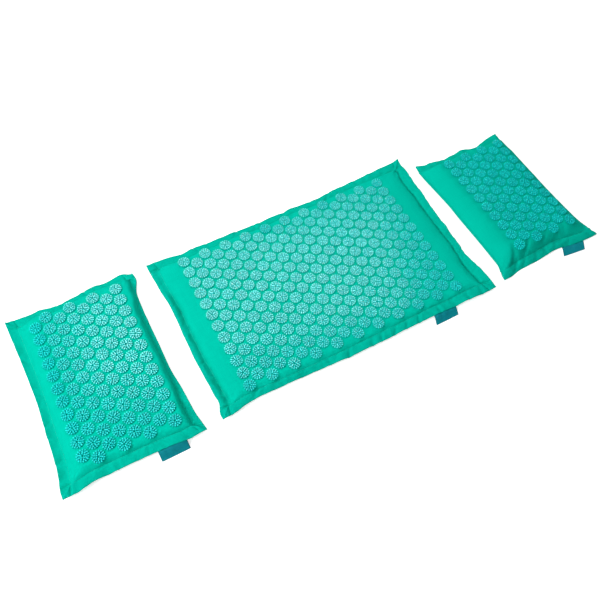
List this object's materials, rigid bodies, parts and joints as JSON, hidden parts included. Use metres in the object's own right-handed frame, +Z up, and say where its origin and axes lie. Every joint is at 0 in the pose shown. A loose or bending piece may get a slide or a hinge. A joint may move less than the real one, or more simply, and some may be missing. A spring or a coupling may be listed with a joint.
{
  "type": "acupressure mat set",
  "caption": "Padded cotton acupressure mat with a flat pillow and a neck pillow, all covered in columns of round spiked discs.",
  "frame": {"origin": "middle of the mat's underside, on the floor", "axes": "+X along the mat's length, from the flat pillow towards the neck pillow; +Y across the mat, away from the labelled edges; +Z up"},
  "size_m": [1.2833, 0.4249, 0.0418],
  "materials": {
    "cover_cotton": "plain woven cotton",
    "underside_cotton": "plain woven cotton",
    "foam": "open-cell foam",
    "label_satin": "woven satin ribbon",
    "disc_plastic": "semi-translucent moulded plastic"
  },
  "bodies": {
    "mat": {"mat_top_panel": "cover_cotton", "mat_bottom_panel": "underside_cotton", "mat_foam": "foam", "mat_label": "label_satin", "mat_discs_01": "disc_plastic", "mat_discs_02": "disc_plastic", "mat_discs_03": "disc_plastic", "mat_discs_04": "disc_plastic", "mat_discs_05": "disc_plastic", "mat_discs_06": "disc_plastic", "mat_discs_07": "disc_plastic", "mat_discs_08": "disc_plastic", "mat_discs_09": "disc_plastic", "mat_discs_10": "disc_plastic", "mat_discs_11": "disc_plastic", "mat_discs_12": "disc_plastic", "mat_discs_13": "disc_plastic", "mat_discs_14": "disc_plastic", "mat_discs_15": "disc_plastic", "mat_discs_16": "disc_plastic", "mat_discs_17": "disc_plastic", "mat_discs_18": "disc_plastic", "mat_discs_19": "disc_plastic", "mat_discs_20": "disc_plastic", "mat_discs_21": "disc_plastic"},
    "flat_pillow": {"flat_pillow_top_panel": "cover_cotton", "flat_pillow_bottom_panel": "underside_cotton", "flat_pillow_foam": "foam", "flat_pillow_label": "label_satin", "flat_pillow_discs_01": "disc_plastic", "flat_pillow_discs_02": "disc_plastic", "flat_pillow_discs_03": "disc_plastic", "flat_pillow_discs_04": "disc_plastic", "flat_pillow_discs_05": "disc_plastic", "flat_pillow_discs_06": "disc_plastic", "flat_pillow_discs_07": "disc_plastic", "flat_pillow_discs_08": "disc_plastic"},
    "neck_pillow": {"neck_pillow_top_panel": "cover_cotton", "neck_pillow_bottom_panel": "underside_cotton", "neck_pillow_foam": "foam", "neck_pillow_label": "label_satin", "neck_pillow_discs_01": "disc_plastic", "neck_pillow_discs_02": "disc_plastic", "neck_pillow_discs_03": "disc_plastic", "neck_pillow_discs_04": "disc_plastic", "neck_pillow_discs_05": "disc_plastic", "neck_pillow_discs_06": "disc_plastic", "neck_pillow_discs_07": "disc_plastic"}
  },
  "joints": [
    {"name": "flat_pillow_lift", "type": "slide", "parent": "mat", "child": "flat_pillow", "axis": [0, 0, 1], "range_m": [0, 0.25]},
    {"name": "neck_pillow_lift", "type": "slide", "parent": "mat", "child": "neck_pillow", "axis": [0, 0, 1], "range_m": [0, 0.25]}
  ]
}
